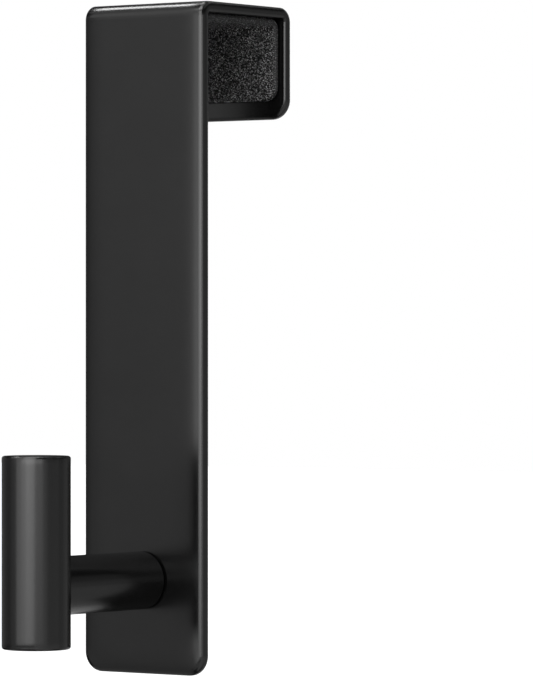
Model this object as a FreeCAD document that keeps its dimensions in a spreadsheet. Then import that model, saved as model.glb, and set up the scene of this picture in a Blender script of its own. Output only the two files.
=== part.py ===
import FreeCAD, Part
import os
import Sketcher
from FreeCAD import Placement, Rotation, Vector

# Over-the-door hook: a steel strip folded over the top of a door, lined with sponge, with a
# round post near its lower end that carries an upright round bar.
# Frame: +Z up, the hook points towards -Y. The origin is the middle of the lining face that
# rests on the door's top edge, halfway through the door.

doc = FreeCAD.newDocument("over_door_hook")
sheet = doc.addObject("Spreadsheet::Sheet", "sizes")
NEAR = 1e-4

# Millimetres, and degrees for the angle.
SIZES = {
    # folded strip
    "strap_width": 42.5,
    "strap_thickness": 3.2,
    "plate_height": 190.0,
    "lip_height": 32.0,
    "door_gap": 36.6,
    "bend_radius": 1.0,
    "corner_radius": 5.7,
    "outer_arris": 1.5,
    "inner_arris": 1.0,
    # sponge lining
    "liner_thickness": 2.0,
    "liner_side_margin": 2.0,
    "liner_end_margin": 5.3,
    "liner_corner": 4.0,
    "liner_fold": 1.0,
    # post
    "post_diameter": 16.4,
    "post_above_plate_end": 26.5,
    "post_chamfer": 0.8,
    "saddle_fit": 0.05,
    # upright bar
    "bar_diameter": 19.05,
    "bar_length": 53.2,
    "bar_reach": 48.0,
    "bar_below_post": 17.0,
    "bar_rim": 0.8,
    # spigot that joins the post to the bar
    "spigot_diameter": 8.0,
    "spigot_length": 10.0,
    "spigot_chamfer": 0.6,
    "spigot_fit": 0.02,
    "bore_end_room": 0.8,
    # countersunk screw that joins the post to the strip
    "screw_diameter": 5.0,
    "screw_length": 16.0,
    "screw_head": 9.6,
    "screw_sunk_by": 0.2,
    "screw_tip": 0.6,
    "screw_hole": 5.4,
    "thread_fit": 0.02,
    "thread_end_room": 2.0,
    "sink_angle": 90.0,
    "socket_flats": 3.0,
    "socket_depth": 1.6,
}

# Places that several pieces share, as expressions over the sizes.
HALF_GAP = "(sizes.door_gap / 2)"
HALF_DEPTH = "(sizes.door_gap / 2 + sizes.strap_thickness)"
BRIDGE_UNDERSIDE = "sizes.liner_thickness"
BRIDGE_TOP = "(sizes.liner_thickness + sizes.strap_thickness)"
OUTER_BEND = "(sizes.bend_radius + sizes.strap_thickness)"
PLATE_END = "(%s - sizes.plate_height)" % BRIDGE_TOP
LIP_END = "(%s - sizes.lip_height)" % BRIDGE_TOP
POST_AXIS = "(%s + sizes.post_above_plate_end)" % PLATE_END
BAR_RADIUS = "(sizes.bar_diameter / 2)"
SPIGOT_RADIUS = "(sizes.spigot_diameter / 2)"
SINK_SLOPE = "tan(sizes.sink_angle / 2)"


def fill_sheet():
    """One row for each size: its name, its value and its alias."""
    for row, (name, number) in enumerate(SIZES.items(), start=1):
        sheet.set("A%d" % row, name)
        sheet.set("B%d" % row, str(number))
        sheet.setAlias("B%d" % row, name)
    doc.recompute()


def value(rule):
    """The number that an expression over the sizes gives now."""
    return float(sheet.evalExpression(rule))


def new_body(label):
    body = doc.addObject("PartDesign::Body", label)
    body.Label = label
    return body


def place(body, y_rule, z_rule, turn=0.0):
    """Put a body at (0, y, z), turned about X so that its own +Z can point out of the plate."""
    body.Placement = Placement(Vector(0, value(y_rule), value(z_rule)),
                               Rotation(Vector(1, 0, 0), turn))
    body.setExpression("Placement.Base.y", y_rule)
    body.setExpression("Placement.Base.z", z_rule)
    doc.recompute()


def new_sketch(body, name, role, offset_rule=None):
    """A sketch on one of the body's own origin planes, moved along its normal if asked."""
    sketch = body.newObject("Sketcher::SketchObject", name)
    plane = next(item for item in body.Origin.OriginFeatures if item.Role == role)
    sketch.AttachmentSupport = (plane, [""])
    sketch.MapMode = "FlatFace"
    if offset_rule:
        sketch.setExpression("AttachmentOffset.Base.z", offset_rule)
    return sketch


def dimension(sketch, name, rule, kind, *where):
    index = sketch.addConstraint(Sketcher.Constraint(kind, *where, value(rule)))
    sketch.renameConstraint(index, name)
    sketch.setExpression("Constraints." + name, rule)


def hold(sketch, name, line, rule, kind):
    """Hold one coordinate of a line's start point at a rule's value, or on the axis at zero."""
    if rule == "0":
        axis = -2 if kind == "DistanceX" else -1
        sketch.addConstraint(Sketcher.Constraint("PointOnObject", line, 1, axis))
    else:
        dimension(sketch, name, rule, kind, line, 1)


def outline(sketch, corners):
    """A closed outline through corners (x rule, y rule, radius rule or None).

    Level and upright lines are held so by constraints, every corner is held by a bound
    dimension and a corner with a radius gets a tangent arc."""
    spots = [Vector(value(x), value(y), 0) for x, y, _ in corners]
    radii = [value(radius) if radius else 0.0 for _, _, radius in corners]
    count = len(corners)
    level, upright = [], []
    for i in range(count):
        start, stop = spots[i], spots[(i + 1) % count]
        run = (stop - start).normalize()
        line = Part.LineSegment(start + run * radii[i], stop - run * radii[(i + 1) % count])
        sketch.addGeometry(line, False)
        level.append(abs(run.y) < NEAR)
        upright.append(abs(run.x) < NEAR)
    for i, (x_rule, y_rule, radius) in enumerate(corners):
        before = i - 1 if i else count - 1
        if level[i]:
            sketch.addConstraint(Sketcher.Constraint("Horizontal", i))
        if upright[i]:
            sketch.addConstraint(Sketcher.Constraint("Vertical", i))
        if upright[i] or not upright[before]:
            hold(sketch, "x%d" % i, i, x_rule, "DistanceX")
        if level[i] or not level[before]:
            hold(sketch, "y%d" % i, i, y_rule, "DistanceY")
        if radius:
            round_corner(sketch, before, i, spots[i], radii[i], radius)
        else:
            sketch.addConstraint(Sketcher.Constraint("Coincident", before, 2, i, 1))


def round_corner(sketch, before, after, spot, radius, rule):
    """Join two square lines by a tangent arc whose radius is bound to a rule."""
    come = sketch.Geometry[before].EndPoint
    leave = sketch.Geometry[after].StartPoint
    centre = come + leave - spot
    middle = centre + (spot - centre).normalize() * radius
    leftward = (come - centre).cross(leave - centre).z > 0
    first, last = (come, leave) if leftward else (leave, come)
    near_end, far_end = (1, 2) if leftward else (2, 1)
    arc = sketch.addGeometry(Part.Arc(first, middle, last), False)
    sketch.addConstraint(Sketcher.Constraint("Tangent", before, 2, arc, near_end))
    sketch.addConstraint(Sketcher.Constraint("Tangent", arc, far_end, after, 1))
    dimension(sketch, "round%d" % after, rule, "Radius", arc)


def circle(sketch, diameter_rule, height_rule="0"):
    """A circle centred on the sketch's upright axis."""
    centre = Vector(0, value(height_rule), 0)
    ring = sketch.addGeometry(Part.Circle(centre, Vector(0, 0, 1), value(diameter_rule) / 2), False)
    sketch.addConstraint(Sketcher.Constraint("PointOnObject", ring, 3, -2))
    if height_rule == "0":
        sketch.addConstraint(Sketcher.Constraint("PointOnObject", ring, 3, -1))
    else:
        dimension(sketch, "height", height_rule, "DistanceY", ring, 3)
    dimension(sketch, "width", diameter_rule, "Diameter", ring)


def pad(body, sketch, length_rule, both_ways=False):
    doc.recompute()
    feature = body.newObject("PartDesign::Pad", sketch.Name + "_pad")
    feature.Profile = sketch
    feature.SideType = "Symmetric" if both_ways else "One side"
    feature.setExpression("Length", length_rule)
    doc.recompute()
    return feature


def cut(body, sketch, length_rule, both_ways=False, turned=False):
    """Pocket a sketch to a depth, and make sure that it took material away."""
    whole = body.Shape.Volume
    feature = body.newObject("PartDesign::Pocket", sketch.Name + "_pocket")
    feature.Profile = sketch
    feature.SideType = "Symmetric" if both_ways else "One side"
    feature.Reversed = turned
    feature.setExpression("Length", length_rule)
    doc.recompute()
    check_cut(feature, whole)


def drill(body, sketch, diameter_rule, depth_rule=None, sink_rule=None):
    """Drill a hole along the sketch's normal, right through if it has no depth, with a
    countersink if asked."""
    doc.recompute()
    whole = body.Shape.Volume
    feature = body.newObject("PartDesign::Hole", sketch.Name + "_hole")
    feature.Profile = sketch
    feature.Reversed = True
    feature.setExpression("Diameter", diameter_rule)
    if depth_rule:
        feature.DepthType = "Dimension"
        feature.setExpression("Depth", depth_rule)
    else:
        feature.DepthType = "ThroughAll"
    if sink_rule:
        feature.HoleCutType = "Countersink"
        feature.HoleCutCustomValues = True
        feature.setExpression("HoleCutDiameter", sink_rule)
        feature.setExpression("HoleCutCountersinkAngle", "sizes.sink_angle")
    doc.recompute()
    check_cut(feature, whole)


def check_cut(feature, whole):
    if feature.Shape.Volume > whole - NEAR:
        raise ValueError(feature.Name + " took no material away")


def turn_profile(body, sketch):
    """Revolve a half section about the sketch's upright axis."""
    doc.recompute()
    feature = body.newObject("PartDesign::Revolution", sketch.Name + "_turned")
    feature.Profile = sketch
    feature.ReferenceAxis = (sketch, ["V_Axis"])
    feature.Angle = 360.0
    doc.recompute()


def ease(body, kind, rule, test):
    """Fillet or chamfer the edges of the body that pass a test."""
    doc.recompute()
    base = body.Tip
    names = ["Edge%d" % i for i, edge in enumerate(base.Shape.Edges, start=1) if test(edge)]
    feature = body.newObject("PartDesign::" + kind, "%s_%s" % (base.Name, kind.lower()))
    feature.Base = (base, names)
    feature.setExpression("Radius" if kind == "Fillet" else "Size", rule)
    doc.recompute()


def runs_along(edge, axis):
    if not isinstance(edge.Curve, Part.Line):
        return False
    return edge.tangentAt(edge.FirstParameter).cross(axis).Length < NEAR


def middle_of(edge):
    return edge.valueAt((edge.FirstParameter + edge.LastParameter) / 2)


def crosses_end(thickness_rule):
    """A test for the short edges that cross a sheet's thickness at its free ends."""
    def test(edge):
        return runs_along(edge, Vector(0, 1, 0)) and abs(edge.Length - value(thickness_rule)) < NEAR
    return test


def side_arris(y_rule):
    """A test for the upright arrises of the plate at a depth. A fillet runs on from them
    round the bends and the rounded ends, because the whole arris is tangent."""
    def test(edge):
        return runs_along(edge, Vector(0, 0, 1)) and abs(middle_of(edge).y - value(y_rule)) < NEAR
    return test


def ring_at(height_rule):
    """A test for the round edge of an end face at a height."""
    def test(edge):
        flat = edge.BoundBox.ZLength < NEAR and isinstance(edge.Curve, Part.Circle)
        return flat and abs(edge.BoundBox.ZMin - value(height_rule)) < NEAR
    return test


def make_strap():
    """Steel strip folded twice: long front plate, bridge over the door and short back lip."""
    body = new_body("strap")
    fold = new_sketch(body, "fold", "YZ_Plane")
    outline(fold, [
        ("-" + HALF_DEPTH, PLATE_END, None),
        ("-" + HALF_DEPTH, BRIDGE_TOP, OUTER_BEND),
        (HALF_DEPTH, BRIDGE_TOP, OUTER_BEND),
        (HALF_DEPTH, LIP_END, None),
        (HALF_GAP, LIP_END, None),
        (HALF_GAP, BRIDGE_UNDERSIDE, "sizes.bend_radius"),
        ("-" + HALF_GAP, BRIDGE_UNDERSIDE, "sizes.bend_radius"),
        ("-" + HALF_GAP, PLATE_END, None),
    ])
    pad(body, fold, "sizes.strap_width", both_ways=True)
    ease(body, "Fillet", "sizes.corner_radius", crosses_end("sizes.strap_thickness"))
    ease(body, "Fillet", "sizes.outer_arris", side_arris("-" + HALF_DEPTH))
    ease(body, "Fillet", "sizes.inner_arris", side_arris("-" + HALF_GAP))
    screw_place = new_sketch(body, "screw_place", "XZ_Plane", HALF_GAP)
    circle(screw_place, "sizes.screw_hole", POST_AXIS)
    sink = "sizes.screw_head + 2 * sizes.screw_sunk_by * " + SINK_SLOPE
    drill(body, screw_place, "sizes.screw_hole", sink_rule=sink)


def make_liner():
    """One sheet of sponge glued inside the fold, on the plate, the bridge and the lip."""
    body = new_body("foam_liner")
    face = "(%s - sizes.liner_thickness)" % HALF_GAP
    leg_end = "(%s + sizes.liner_end_margin)" % LIP_END
    fold = new_sketch(body, "liner_fold", "YZ_Plane")
    outline(fold, [
        ("-" + HALF_GAP, leg_end, None),
        ("-" + HALF_GAP, BRIDGE_UNDERSIDE, "sizes.bend_radius"),
        (HALF_GAP, BRIDGE_UNDERSIDE, "sizes.bend_radius"),
        (HALF_GAP, leg_end, None),
        (face, leg_end, None),
        (face, "0", "sizes.liner_fold"),
        ("-" + face, "0", "sizes.liner_fold"),
        ("-" + face, leg_end, None),
    ])
    pad(body, fold, "sizes.strap_width - 2 * sizes.liner_side_margin", both_ways=True)
    ease(body, "Fillet", "sizes.liner_corner", crosses_end("sizes.liner_thickness"))


def make_post():
    """Round post. Its own +Z runs from the plate to the bar. The base is chamfered and
    tapped, and the far end is a saddle that fits round the bar, with a spigot in its middle."""
    body = new_body("post")
    radius = "(sizes.post_diameter / 2)"
    tips = "(sizes.bar_reach - sqrt(%s ^ 2 - %s ^ 2))" % (BAR_RADIUS, radius)
    section = new_sketch(body, "post_section", "XZ_Plane")
    outline(section, [
        ("0", "0", None),
        (radius + " - sizes.post_chamfer", "0", None),
        (radius, "sizes.post_chamfer", None),
        (radius, tips, None),
        ("0", tips, None),
    ])
    turn_profile(body, section)
    saddle = new_sketch(body, "saddle", "XZ_Plane")
    circle(saddle, "sizes.bar_diameter + 2 * sizes.saddle_fit", "sizes.bar_reach")
    doc.recompute()
    cut(body, saddle, "2 * sizes.post_diameter", both_ways=True)
    root = "(sizes.bar_reach - %s - %s)" % (BAR_RADIUS, SPIGOT_RADIUS)
    spigot = new_sketch(body, "spigot", "XY_Plane", root)
    circle(spigot, "sizes.spigot_diameter")
    pad(body, spigot, SPIGOT_RADIUS + " + sizes.spigot_length")
    spigot_end = "sizes.bar_reach - %s + sizes.spigot_length" % BAR_RADIUS
    ease(body, "Chamfer", "sizes.spigot_chamfer", ring_at(spigot_end))
    tapping = new_sketch(body, "tapping", "XY_Plane")
    circle(tapping, "sizes.screw_diameter")
    reach = "sizes.screw_sunk_by + sizes.screw_length - sizes.strap_thickness"
    drill(body, tapping, "sizes.screw_diameter + 2 * sizes.thread_fit",
          depth_rule=reach + " + sizes.thread_end_room")
    place(body, "-" + HALF_DEPTH, POST_AXIS, turn=90)


def make_bar():
    """Upright round bar with softened rims and a blind cross bore for the post's spigot.
    Its own origin is on its axis, level with the post."""
    body = new_body("hook_bar")
    section = new_sketch(body, "bar_section", "XY_Plane", "-sizes.bar_below_post")
    circle(section, "sizes.bar_diameter")
    pad(body, section, "sizes.bar_length")
    bottom, top = ring_at("-sizes.bar_below_post"), ring_at("sizes.bar_length - sizes.bar_below_post")
    ease(body, "Fillet", "sizes.bar_rim", lambda edge: bottom(edge) or top(edge))
    bore = new_sketch(body, "cross_bore", "XZ_Plane", "-" + BAR_RADIUS)
    circle(bore, "sizes.spigot_diameter + 2 * sizes.spigot_fit")
    doc.recompute()
    cut(body, bore, "sizes.spigot_length + sizes.bore_end_room", turned=True)
    place(body, "-(%s + sizes.bar_reach)" % HALF_DEPTH, POST_AXIS)


def make_screw():
    """Countersunk socket screw. Its own +Z runs from the head's face to the tip."""
    body = new_body("mounting_screw")
    head, shank = "(sizes.screw_head / 2)", "(sizes.screw_diameter / 2)"
    section = new_sketch(body, "screw_section", "XZ_Plane")
    outline(section, [
        ("0", "0", None),
        (head, "0", None),
        (shank, "(%s - %s) / %s" % (head, shank, SINK_SLOPE), None),
        (shank, "sizes.screw_length - sizes.screw_tip", None),
        (shank + " - sizes.screw_tip", "sizes.screw_length", None),
        ("0", "sizes.screw_length", None),
    ])
    turn_profile(body, section)
    socket = new_sketch(body, "socket", "XY_Plane")
    corner = "sizes.socket_flats / sqrt(3) * "
    outline(socket, [("%scos(%d)" % (corner, angle), "%ssin(%d)" % (corner, angle), None)
                     for angle in range(30, 390, 60)])
    doc.recompute()
    cut(body, socket, "sizes.socket_depth", turned=True)
    place(body, "-(%s + sizes.screw_sunk_by)" % HALF_GAP, POST_AXIS, turn=90)


def check_document():
    """Stop if any object failed or any piece is not one sound solid."""
    for item in doc.Objects:
        if "Invalid" in item.State or "Error" in item.State:
            raise ValueError("%s failed: %s" % (item.Name, item.State))
    for body in bodies():
        if body.Shape.isNull() or not body.Shape.isValid() or len(body.Shape.Solids) != 1:
            raise ValueError(body.Label + " is not one sound solid")


def bodies():
    return [item for item in doc.Objects if item.isDerivedFrom("PartDesign::Body")]


def write_parts():
    os.makedirs("parts", exist_ok=True)
    for body in bodies():
        body.Shape.exportStep("parts/%s.step" % body.Label)
        box = body.Shape.optimalBoundingBox(False)
        print("%-16s volume %9.1f  y %7.2f to %7.2f  z %8.2f to %7.2f" % (
            body.Label, body.Shape.Volume, box.YMin, box.YMax, box.ZMin, box.ZMax))


fill_sheet()
make_strap()
make_liner()
make_post()
make_bar()
make_screw()
doc.recompute()
check_document()
write_parts()
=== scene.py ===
import math

import bpy
import numpy as np
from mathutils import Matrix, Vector, noise


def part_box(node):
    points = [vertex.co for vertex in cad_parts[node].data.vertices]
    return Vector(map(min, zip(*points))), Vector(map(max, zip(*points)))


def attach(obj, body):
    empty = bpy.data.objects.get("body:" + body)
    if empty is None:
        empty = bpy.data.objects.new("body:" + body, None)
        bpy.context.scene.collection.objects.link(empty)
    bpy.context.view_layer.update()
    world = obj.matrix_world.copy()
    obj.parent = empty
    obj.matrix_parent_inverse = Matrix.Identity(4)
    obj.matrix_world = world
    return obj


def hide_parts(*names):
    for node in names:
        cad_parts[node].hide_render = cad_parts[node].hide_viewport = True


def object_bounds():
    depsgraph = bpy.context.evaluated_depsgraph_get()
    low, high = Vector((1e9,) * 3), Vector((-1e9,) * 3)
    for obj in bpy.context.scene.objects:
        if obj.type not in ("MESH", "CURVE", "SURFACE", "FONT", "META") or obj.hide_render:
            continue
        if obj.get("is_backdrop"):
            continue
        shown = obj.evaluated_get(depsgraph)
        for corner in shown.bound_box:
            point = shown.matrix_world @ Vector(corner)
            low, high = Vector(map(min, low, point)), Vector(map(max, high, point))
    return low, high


# Looks of the over-the-door hook: satin powder coat on the strip, post and bar, a coarse open
# sponge in the fold, and a pale studio. Metres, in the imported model's frame: the hook hangs
# from the origin, points towards -Y and has its back lip towards +Y.
MM = 0.001

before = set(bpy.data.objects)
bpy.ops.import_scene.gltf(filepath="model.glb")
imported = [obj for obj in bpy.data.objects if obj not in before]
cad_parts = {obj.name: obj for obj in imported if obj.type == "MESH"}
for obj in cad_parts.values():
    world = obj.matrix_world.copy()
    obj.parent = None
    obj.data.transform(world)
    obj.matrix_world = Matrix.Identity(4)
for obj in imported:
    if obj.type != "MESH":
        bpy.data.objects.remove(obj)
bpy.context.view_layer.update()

# Camera: level, turned 36 degrees to the hook's right-hand side. Lens and sensor in mm.
VIEW_AZIMUTH = math.radians(36.014)
CAMERA_PLACE = (0.81831, -1.08755, -0.08985)
LENS = 252.3
SENSOR = 36.0

# Powder coat: its greys and its roughness from smooth to matt, then the size of its clouds,
# of its orange peel and of its fine grain, and how deep the last two are
COAT_GREYS = (0.0015, 0.0025)
COAT_ROUGHNESS = (0.21, 0.25)
CLOUD_SIZE = 14 * MM
PEEL_SIZE, PEEL_DEPTH = 0.9 * MM, 0.0030 * MM
FINE_SIZE, FINE_DEPTH = 0.25 * MM, 0.0008 * MM
# Shares of the clouds and of the fine grain in its roughness
CLOUD_SHARE, FINE_SHARE = 0.6, 0.4

# Soft crown of a face towards its edges: where each part starts, how late it falls, how deep
STRIP_CROWN = ((9.5 * MM, 2, 0.20 * MM), (5.5 * MM, 3, 0.20 * MM))
BAR_CROWN = ((3.4 * MM, 3, 0.07 * MM),)
CROWN_STOP = 0.8 * MM

# Sponge sheet: thickness, radius of its corners and of the free face's folds
SHEET = 2.0 * MM
SHEET_CORNER = 4.0 * MM
FOLD_RADIUS = 1.0 * MM
FOLD_SEGMENTS = 6
# Its worn free edge: how far in it starts and how much it loses
WORN_WIDTH = 0.7 * MM
WORN_DEPTH = 0.32 * MM
# Its cut side: a hollow along the steel, what the knife took, and its rows of faces
GROOVE_HEIGHT = 1.1 * MM
GROOVE_DEPTH = 1.0 * MM
SIDE_LOSS = 0.05 * MM
RIM_ROWS = 8
# Pits in its mesh: step of the mesh and depth, then size and share of the winding walls,
# with their steepness, and of the specks
PORE_STEP = 0.21 * MM
PORE_DEPTH = 0.07 * MM
WALL_SIZE, WALL_SHARE = 0.62 * MM, 0.75
WALL_STEEPNESS = 2.6
SPECK_SIZE, SPECK_SHARE = 0.4 * MM, 0.5
# Cells in its material: size, how rare the pale ones are, and the greys of pores and walls.
# Over the sponge's own black, the near-black pores are painted shade in the cells and the pale
# walls are painted light on lit cell walls.
CELL = 0.17 * MM
LIT_WALL_RARITY = 10.0
CELL_DEPTH = 0.06 * MM
PORE_SHADE_AND_WALL_LIGHT_GREYS = (0.002, 0.74)
SPONGE_ROUGHNESS = (0.95, 0.75)
FIBRE_SIZE, FIBRE_DEPTH = 0.15 * MM, 0.01 * MM
# Cells are crushed beside the cut sides, from CRUSH_START to CRUSH_STOP off them
CRUSH_START = 1.6 * MM
CRUSH_STOP = 0.3 * MM
CRUSHED_OPENNESS = 0.35
CRUSHED_WALL = 0.07

# Screw: distance, depth and waver of its turning rings, size of its stains, its roughness
RING_STEP, RING_DEPTH = 0.3 * MM, 0.004 * MM
RING_WAVER = 1.5
STAIN_SIZE = 0.8 * MM
SCREW_ROUGHNESS = (0.3, 0.45)

# Studio: lamps stand nearest to the hook, then cards, and a dark dome is round them all
AMBIENT = 0.15
LAMP_DISTANCE = 3.0
CARD_RADIUS = 3.2
DOME_RADIUS = 3.6
DOME_LEVEL = 0.03
CENTRE = Vector((0, -0.03, -0.09))
# Floor: how brightly it is seen, near its middle and far off, and where that changes
FLOOR_HEIGHT = -0.8
FLOOR_HALF = 20.0
FLOOR_GLOW = (0.3, 1.0)
FLOOR_FADE = (0.4, 1.6)
# What would lie under the floor is drawn in, as if the floor were this far outside the dome
DOME_GAP = 0.1
# Degrees that one face of a card takes, across and up
CARD_STEP = (5, 3)

# Both tables give azimuths from and to, elevations from and to, and a level, where white is
# 1. A lamp lights everything, and a card only shows in the coat.
LAMPS = {
    "key": (4, 18, -3, 10, 5.5),
    "key_right": (18, 34, -3, 10, 4.8),
    "key_side": (-12, 4, -3, 10, 3.6),
    "key_foot": (-30, 30, -10, -3, 2.0),
    "key_top": (-8, 34, 10, 34, 3.4),
    "left": (-30, -12, 3, 20, 1.7),
    "left_foot": (-30, -12, -3, 3, 2.1),
    "right": (34, 60, 3, 10, 3.4),
    "right_foot": (34, 60, -3, 3, 2.2),
    "overhead": (-165, -75, 62, 88, 4.5),
    "bend": (-112, -88, 49, 57, 14.0),
    "upper": (-45, -10, 38, 50, 2.3),
    "back": (176, 206, 4, 24, 1.8),
}
CARDS = {
    "skirt": (30, 60, -10, -3, 0.7),
    "side_near": (60, 75, -10, 10, 0.85),
    "side": (75, 120, -10, 10, 0.5),
    "side_far": (120, 180, -4, 7, 0.31),
    "side_far_high": (120, 180, 7, 20, 0.18),
    "side_far_low": (120, 180, -20, -4, 0.42),
    "left_wall": (230, 305, -10, 20, 0.2),
    "left_edge": (305, 317, -20, 20, 0.43),
    "left_near": (317, 330, 0, 8, 0.66),
    "left_high": (317, 330, 8, 20, 0.85),
    "front_sky": (-60, 30, 20, 38, 1.15),
    "front_crown": (-25, 38, 44, 76, 5.5),
    "bend_front": (-86, -45, 38, 55, 0.6),
    "left_low": (-43, -30, -20, 0, 0.46),
    "floor_before": (-60, -30, -35, -20, 0.4),
    "floor_middle": (-24, 30, -50, -20, 0.7),
    "floor_near": (30, 60, -35, -10, 0.9),
    "floor_near_right": (60, 120, -35, -10, 0.75),
    "back_sky": (80, 230, 38, 50, 1.0),
    "top_sky": (0, 180, 62, 90, 0.7),
    "back_low": (165, 228, -26, -8, 0.6),
    "floor_left": (-180, -140, -50, -20, 0.65),
    "floor_far_left": (-140, -120, -50, -35, 0.3),
    "floor_right": (120, 180, -50, -20, 0.4),
    "floor_front_left": (-120, -30, -80, -35, 0.4),
    "floor_front_right": (30, 110, -80, -35, 0.8),
}


def link(name, data):
    """A new object in the scene."""
    thing = bpy.data.objects.new(name, data)
    bpy.context.scene.collection.objects.link(thing)
    return thing


def nodes_of(name):
    """A new material with its node tree and its main shader."""
    material = bpy.data.materials.new(name)
    material.use_nodes = True
    tree = material.node_tree
    return material, tree, tree.nodes["Principled BSDF"]


def add(tree, kind, **values):
    """A node with some of its properties set by name."""
    node = tree.nodes.new("ShaderNode" + kind)
    for name, value in values.items():
        setattr(node, name, value)
    return node


def arithmetic(tree, operation, *terms):
    """One Math node. A term is a socket or a number."""
    node = add(tree, "Math", operation=operation)
    for socket, term in zip(node.inputs, terms):
        if isinstance(term, bpy.types.NodeSocket):
            tree.links.new(term, socket)
        else:
            socket.default_value = term
    return node.outputs[0]


def spread(tree, source, low, high, start=0.0, stop=1.0):
    """Map a socket's values from start..stop to low..high."""
    node = add(tree, "MapRange")
    tree.links.new(source, node.inputs["Value"])
    node.inputs["From Min"].default_value = start
    node.inputs["From Max"].default_value = stop
    node.inputs["To Min"].default_value = low
    node.inputs["To Max"].default_value = high
    return node.outputs["Result"]


def grain(tree, place, size, detail=2.0):
    """Noise whose blotches are about one size across, from object coordinates in metres."""
    node = add(tree, "TexNoise")
    node.inputs["Scale"].default_value = 1.0 / size
    node.inputs["Detail"].default_value = detail
    tree.links.new(place, node.inputs["Vector"])
    return node.outputs["Fac"]


def bump(tree, height, depth, under=None):
    """A Bump node for a height of 0 to 1 that stands for a real depth in metres."""
    node = add(tree, "Bump")
    node.inputs["Strength"].default_value = 1.0
    node.inputs["Distance"].default_value = depth
    tree.links.new(height, node.inputs["Height"])
    if under:
        tree.links.new(under, node.inputs["Normal"])
    return node.outputs["Normal"]


def grey(level):
    """A grey with a trace of blue."""
    return (level, level, level * 1.01, 1.0)


def blend(tree, share, greys, socket):
    """Lead a blend of two greys to a colour socket."""
    tone = add(tree, "Mix", data_type="RGBA")
    tone.inputs["A"].default_value = grey(greys[0])
    tone.inputs["B"].default_value = grey(greys[1])
    tree.links.new(share, tone.inputs["Factor"])
    tree.links.new(tone.outputs["Result"], socket)


def crown(tree, place, edges, start, power):
    """1 on a face, falling smoothly to 0 at its edges. An edge is the letter of an axis, the
    edge's place on it, and 1 or -1 for the way out."""
    parts = add(tree, "SeparateXYZ")
    tree.links.new(place, parts.inputs["Vector"])
    total = 0.0
    for axis, edge, out in edges:
        share = spread(tree, parts.outputs[axis], 0.0, 1.0, edge - out * start,
                       edge - out * CROWN_STOP)
        total = arithmetic(tree, "ADD", total, arithmetic(tree, "POWER", share, power))
    fall = add(tree, "MapRange", interpolation_type="SMOOTHSTEP")
    tree.links.new(total, fall.inputs["Value"])
    fall.inputs["To Min"].default_value = 1.0
    fall.inputs["To Max"].default_value = 0.0
    return fall.outputs["Result"]


def powder_coat(name, crowns=(), edges=()):
    """Satin near-black powder coat: fine orange peel, a cloudy sheen, and a soft crown towards
    the edges where it has one."""
    material, tree, shader = nodes_of(name)
    place = add(tree, "TexCoord").outputs["Object"]
    cloud = grain(tree, place, CLOUD_SIZE, detail=3)
    peel = grain(tree, place, PEEL_SIZE, detail=1)
    fine = grain(tree, place, FINE_SIZE)
    blend(tree, cloud, COAT_GREYS, shader.inputs["Base Color"])
    mixed = arithmetic(tree, "ADD", arithmetic(tree, "MULTIPLY", cloud, CLOUD_SHARE),
                       arithmetic(tree, "MULTIPLY", fine, FINE_SHARE))
    tree.links.new(spread(tree, mixed, *COAT_ROUGHNESS, 0.3, 0.7), shader.inputs["Roughness"])
    shader.inputs["IOR"].default_value = 1.5
    shader.inputs["Specular IOR Level"].default_value = 0.5
    normal = bump(tree, fine, FINE_DEPTH)
    normal = bump(tree, peel, PEEL_DEPTH, normal)
    for start, power, depth in crowns:
        normal = bump(tree, crown(tree, place, edges, start, power), depth, normal)
    tree.links.new(normal, shader.inputs["Normal"])
    return material


def sponge_material(half_width):
    """Dull black open-cell sponge: small cells of which a few are pale walls, painted light on
    lit cell walls, and most are dark pores, painted shade in the cells; crushed to an even
    dark grey on the sheet's cut sides."""
    material, tree, shader = nodes_of("sponge")
    place = add(tree, "TexCoord").outputs["Object"]
    across = add(tree, "SeparateXYZ")
    tree.links.new(place, across.inputs["Vector"])
    side = arithmetic(tree, "ABSOLUTE", across.outputs["X"])
    openness = spread(tree, side, 1.0, CRUSHED_OPENNESS,
                      half_width - CRUSH_START, half_width - CRUSH_STOP)
    cells = add(tree, "TexVoronoi")
    cells.inputs["Scale"].default_value = 1.0 / CELL
    tree.links.new(place, cells.inputs["Vector"])
    chance = add(tree, "SeparateColor")
    tree.links.new(cells.outputs["Color"], chance.inputs["Color"])
    # Rare pale cells are painted light on lit cell walls; the other cells are near-black
    # painted shade in the pores
    lit_wall_share = arithmetic(tree, "POWER", chance.outputs["Red"], LIT_WALL_RARITY)
    shut = arithmetic(tree, "SUBTRACT", 1.0, openness)
    crushed = arithmetic(tree, "MULTIPLY", shut, CRUSHED_WALL)
    lit_wall_share = arithmetic(tree, "ADD", arithmetic(tree, "MULTIPLY", lit_wall_share, openness), crushed)
    blend(tree, lit_wall_share, PORE_SHADE_AND_WALL_LIGHT_GREYS, shader.inputs["Base Color"])
    tree.links.new(spread(tree, lit_wall_share, *SPONGE_ROUGHNESS), shader.inputs["Roughness"])
    shader.inputs["Specular IOR Level"].default_value = 0.1
    normal = bump(tree, grain(tree, place, FIBRE_SIZE), FIBRE_DEPTH)
    normal = bump(tree, lit_wall_share, CELL_DEPTH, normal)
    tree.links.new(normal, shader.inputs["Normal"])
    return material


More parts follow.
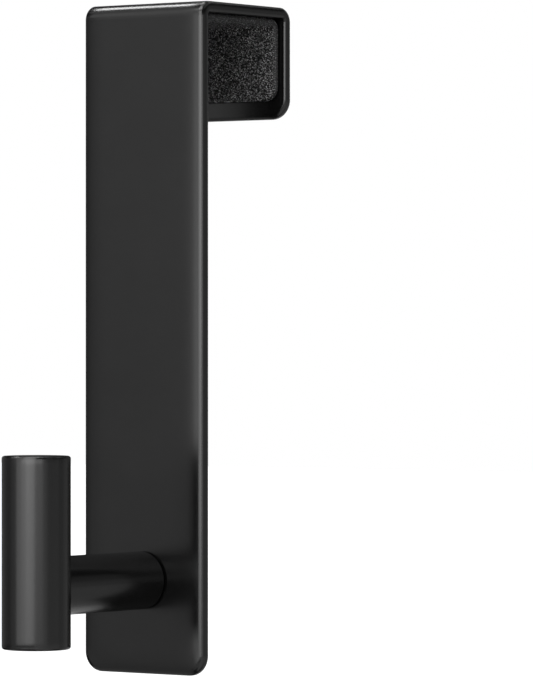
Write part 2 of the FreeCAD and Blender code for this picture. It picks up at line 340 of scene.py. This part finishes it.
def black_oxide(middle):
    """Black oxide on the screw, with the rings that turning left round its middle."""
    material, tree, shader = nodes_of("black_oxide")
    place = add(tree, "TexCoord").outputs["Object"]
    shift = add(tree, "Mapping")
    shift.inputs["Location"].default_value = (0, -middle.y, -middle.z)
    tree.links.new(place, shift.inputs["Vector"])
    rings = add(tree, "TexWave", wave_type="RINGS", rings_direction="Y")
    rings.inputs["Scale"].default_value = 1 / RING_STEP
    rings.inputs["Distortion"].default_value = RING_WAVER
    tree.links.new(shift.outputs["Vector"], rings.inputs["Vector"])
    shader.inputs["Base Color"].default_value = grey(0.02)
    shader.inputs["Metallic"].default_value = 0.6
    stain = spread(tree, grain(tree, place, STAIN_SIZE), *SCREW_ROUGHNESS)
    tree.links.new(stain, shader.inputs["Roughness"])
    normal = bump(tree, rings.outputs["Fac"], RING_DEPTH)
    tree.links.new(normal, shader.inputs["Normal"])
    return material


def dress(node, material):
    """Give a CAD node one material all over."""
    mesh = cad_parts[node].data
    mesh.materials.clear()
    mesh.materials.append(material)


def sponge_path(inner, top, leg_end, corner):
    """The lining's free face in the YZ plane: up the plate side's leg, round both folds and
    down the lip's leg. Gives points at even steps, each with the direction it faces."""
    spots = []
    runs = [((-inner, leg_end), (-inner, top - corner)),
            ((-inner + corner, top), (inner - corner, top)),
            ((inner, top - corner), (inner, leg_end))]
    facings = [(1, 0), (0, -1), (-1, 0)]
    centres = [(-inner + corner, top - corner), (inner - corner, top - corner)]
    for index, ((y0, z0), (y1, z1)) in enumerate(runs):
        length = math.hypot(y1 - y0, z1 - z0)
        steps = round(length / PORE_STEP)
        for k in range(steps + 1):
            t = k / steps
            spots.append(((y0 + (y1 - y0) * t, z0 + (z1 - z0) * t), facings[index]))
        if index < 2:
            centre = centres[index]
            first = math.pi - index * math.pi / 2
            for k in range(1, FOLD_SEGMENTS):
                angle = first - k / FOLD_SEGMENTS * math.pi / 2
                out = (math.cos(angle), math.sin(angle))
                point = (centre[0] + corner * out[0], centre[1] + corner * out[1])
                spots.append((point, (-out[0], -out[1])))
    return spots


def labyrinth(x, y, z):
    """0 on a sponge's cell walls and up to 1 in its pores."""
    winding = abs(noise.noise(Vector((x, y, z)) / WALL_SIZE))
    speck = noise.noise(Vector((z, x, y)) / SPECK_SIZE)
    return min(1.0, winding * WALL_STEEPNESS) * WALL_SHARE + max(0.0, speck) * SPECK_SHARE


def sheet_section(half, columns):
    """The sheet's section across the strip, from one side's back over the free face to the
    other side's back: places across, with depths under the free face."""
    rim = []
    for k in range(RIM_ROWS + 1):
        share = k / RIM_ROWS
        groove = GROOVE_DEPTH * max(0.0, 1 - share * SHEET / GROOVE_HEIGHT) ** 2
        rim.append((half - groove, SHEET * (1 - share)))
    across = [(half * (1 - 2 * c / columns), 0.0) for c in range(columns + 1)]
    return rim[:-1] + across + [(-x, depth) for x, depth in rim[::-1][1:]]


def sponge_piece():
    """One sheet of sponge folded into the strip: pitted free face, worn-round rim, and a flat
    back that lies on the steel."""
    low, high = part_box("foam_liner")
    half_width = (high.x - low.x) / 2
    spots = sponge_path(high.y - SHEET, high.z - SHEET, low.z, FOLD_RADIUS)
    columns = round(2 * half_width / PORE_STEP)
    line = np.array([point for point, facing in spots])
    lengths = np.concatenate([[0], np.cumsum(np.hypot(*np.diff(line, axis=0).T))])
    vertices, faces = [], []
    starts = []
    for i, ((y, z), facing) in enumerate(spots):
        left = min(lengths[i], lengths[-1] - lengths[i])
        half = half_width
        if left < SHEET_CORNER:
            half -= SHEET_CORNER - math.sqrt(SHEET_CORNER ** 2 - (SHEET_CORNER - left) ** 2)
        section = sheet_section(half, columns)
        starts.append(len(vertices))
        for index, (x, depth) in enumerate(section):
            at = Vector((x, y - facing[0] * depth, z - facing[1] * depth))
            pit = PORE_DEPTH * labyrinth(*at)
            if depth == 0:
                near = max(0.0, 1 - min(half - abs(x), left) / WORN_WIDTH)
                inward = pit + WORN_DEPTH * near ** 2
                at.y -= facing[0] * inward
                at.z -= facing[1] * inward
            elif 0 < index < len(section) - 1:
                at.x -= math.copysign(pit + SIDE_LOSS, x)
            vertices.append(tuple(at))
    width = len(section)
    for a, b in zip(starts, starts[1:]):
        for j in range(width - 1):
            faces.append((a + j, b + j, b + j + 1, a + j + 1))
        faces.append((a + width - 1, b + width - 1, b, a))
    for start in (starts[0], starts[-1]):
        faces.append(tuple(range(start, start + width)))
    mesh = bpy.data.meshes.new("sponge_lining")
    mesh.from_pydata(vertices, [], faces)
    mesh.update()
    piece = link("sponge_lining", mesh)
    for polygon in mesh.polygons:
        polygon.use_smooth = True
    mesh.materials.append(sponge_material(half_width))
    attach(piece, "root")
    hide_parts("foam_liner")


def seen_rays(tree):
    """1 for camera, glossy and transmission rays, and 0 for the rays that light things."""
    path = add(tree, "LightPath")
    seen = arithmetic(tree, "MAXIMUM", path.outputs["Is Camera Ray"],
                      path.outputs["Is Glossy Ray"])
    return arithmetic(tree, "MAXIMUM", seen, path.outputs["Is Transmission Ray"])


def studio_world():
    """Soft light from all round, and white where it is seen."""
    world = bpy.data.worlds.new("studio")
    bpy.context.scene.world = world
    world.use_nodes = True
    tree = world.node_tree
    light = tree.nodes["Background"]
    light.inputs["Strength"].default_value = AMBIENT
    light.inputs["Color"].default_value = (1, 1, 1, 1)
    white = add(tree, "Background")
    white.inputs["Color"].default_value = (1, 1, 1, 1)
    mix = add(tree, "MixShader")
    tree.links.new(seen_rays(tree), mix.inputs["Fac"])
    tree.links.new(light.outputs[0], mix.inputs[1])
    tree.links.new(white.outputs[0], mix.inputs[2])
    tree.links.new(mix.outputs[0], tree.nodes["World Output"].inputs["Surface"])


def studio_floor():
    """White floor that takes the hook's shadow and fades to pure white away from it."""
    mesh = bpy.data.meshes.new("floor")
    h = FLOOR_HALF
    mesh.from_pydata([(-h, -h, 0), (h, -h, 0), (h, h, 0), (-h, h, 0)], [], [(0, 1, 2, 3)])
    floor = link("floor", mesh)
    floor.location.z = FLOOR_HEIGHT
    material, tree, shader = nodes_of("floor")
    shader.inputs["Base Color"].default_value = (0.8, 0.8, 0.8, 1)
    shader.inputs["Roughness"].default_value = 0.8
    place = add(tree, "TexCoord").outputs["Object"]
    away = add(tree, "VectorMath", operation="LENGTH")
    tree.links.new(place, away.inputs[0])
    glow = spread(tree, away.outputs["Value"], *FLOOR_GLOW, *FLOOR_FADE)
    shader.inputs["Emission Color"].default_value = (1, 1, 1, 1)
    glow = arithmetic(tree, "MULTIPLY", glow, seen_rays(tree))
    tree.links.new(glow, shader.inputs["Emission Strength"])
    mesh.materials.append(material)
    floor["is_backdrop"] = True


def toward(azimuth, elevation):
    """Unit vector from the hook. Azimuth 0 is straight in front and 90 is its right side."""
    a, e = math.radians(azimuth), math.radians(elevation)
    return Vector((math.sin(a) * math.cos(e), -math.cos(a) * math.cos(e), math.sin(e)))


def card(name, mesh, level):
    """A grey card that only the coat's reflections see."""
    piece = link(name, mesh)
    material = bpy.data.materials.new(name)
    material.use_nodes = True
    tree = material.node_tree
    tree.nodes.remove(tree.nodes["Principled BSDF"])
    glow = add(tree, "Emission")
    glow.inputs["Strength"].default_value = level
    tree.links.new(glow.outputs[0], tree.nodes["Material Output"].inputs["Surface"])
    mesh.materials.append(material)
    for ray in ("camera", "diffuse", "transmission", "shadow", "volume_scatter"):
        setattr(piece, "visible_" + ray, False)
    piece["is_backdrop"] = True


def patch(first, last, low, high, radius):
    """Part of a sphere round the hook, from one azimuth and elevation to another. What would
    lie under the floor is drawn in to lie over it, seen from the hook at the same angles."""
    across = max(2, round(abs(last - first) / CARD_STEP[0]))
    up = max(2, round(abs(high - low) / CARD_STEP[1]))
    drop = (CENTRE.z - FLOOR_HEIGHT) * radius / (DOME_RADIUS + DOME_GAP)
    vertices, faces = [], []
    for i in range(across + 1):
        for j in range(up + 1):
            out = toward(first + (last - first) * i / across, low + (high - low) * j / up)
            reach = min(radius, drop / max(-out.z, 1e-6))
            vertices.append(tuple(CENTRE + out * reach))
    for i in range(across):
        for j in range(up):
            k = i * (up + 1) + j
            faces.append((k, k + 1, k + up + 2, k + up + 1))
    mesh = bpy.data.meshes.new("patch")
    mesh.from_pydata(vertices, [], faces)
    return mesh


def softbox(name, first, last, low, high, level):
    """A square-on softbox that fills given angles as the hook sees it."""
    middle = (low + high) / 2
    lamp = bpy.data.lights.new(name, "AREA")
    lamp.shape = "RECTANGLE"
    span = math.radians(last - first) * math.cos(math.radians(middle))
    lamp.size = 2 * LAMP_DISTANCE * math.tan(span / 2)
    lamp.size_y = 2 * LAMP_DISTANCE * math.tan(math.radians(high - low) / 2)
    lamp.energy = level * math.pi * lamp.size * lamp.size_y
    box = link(name, lamp)
    out = toward((first + last) / 2, middle)
    box.location = CENTRE + out * LAMP_DISTANCE
    box.rotation_mode = "QUATERNION"
    box.rotation_quaternion = out.to_track_quat("Z", "Y")
    box.visible_camera = False


def camera():
    """The photograph's view."""
    lens = bpy.data.cameras.new("camera")
    lens.lens = LENS
    lens.sensor_width = SENSOR
    lens.clip_start, lens.clip_end = 0.1, 100.0
    eye = link("camera", lens)
    eye.location = CAMERA_PLACE
    eye.rotation_euler = (math.pi / 2, 0, VIEW_AZIMUTH)
    bpy.context.scene.camera = eye


camera()
studio_world()
studio_floor()
card("dark_dome", patch(-180, 180, -90, 90, DOME_RADIUS), DOME_LEVEL)
for name, (*angles, level) in CARDS.items():
    card(name, patch(*angles, CARD_RADIUS), level)
for name, numbers in LAMPS.items():
    softbox(name, *numbers)

low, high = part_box("strap")
dress("strap", powder_coat("coated_strip", STRIP_CROWN,
                           (("X", low.x, -1), ("X", high.x, 1), ("Z", low.z, -1))))
dress("post", powder_coat("coated_post"))
low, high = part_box("hook_bar")
dress("hook_bar", powder_coat("coated_bar", BAR_CROWN, (("Z", low.z, -1), ("Z", high.z, 1))))
low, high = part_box("mounting_screw")
dress("mounting_screw", black_oxide((low + high) / 2))
sponge_piece()

bpy.context.scene.view_settings.view_transform = "Standard"

low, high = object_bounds()
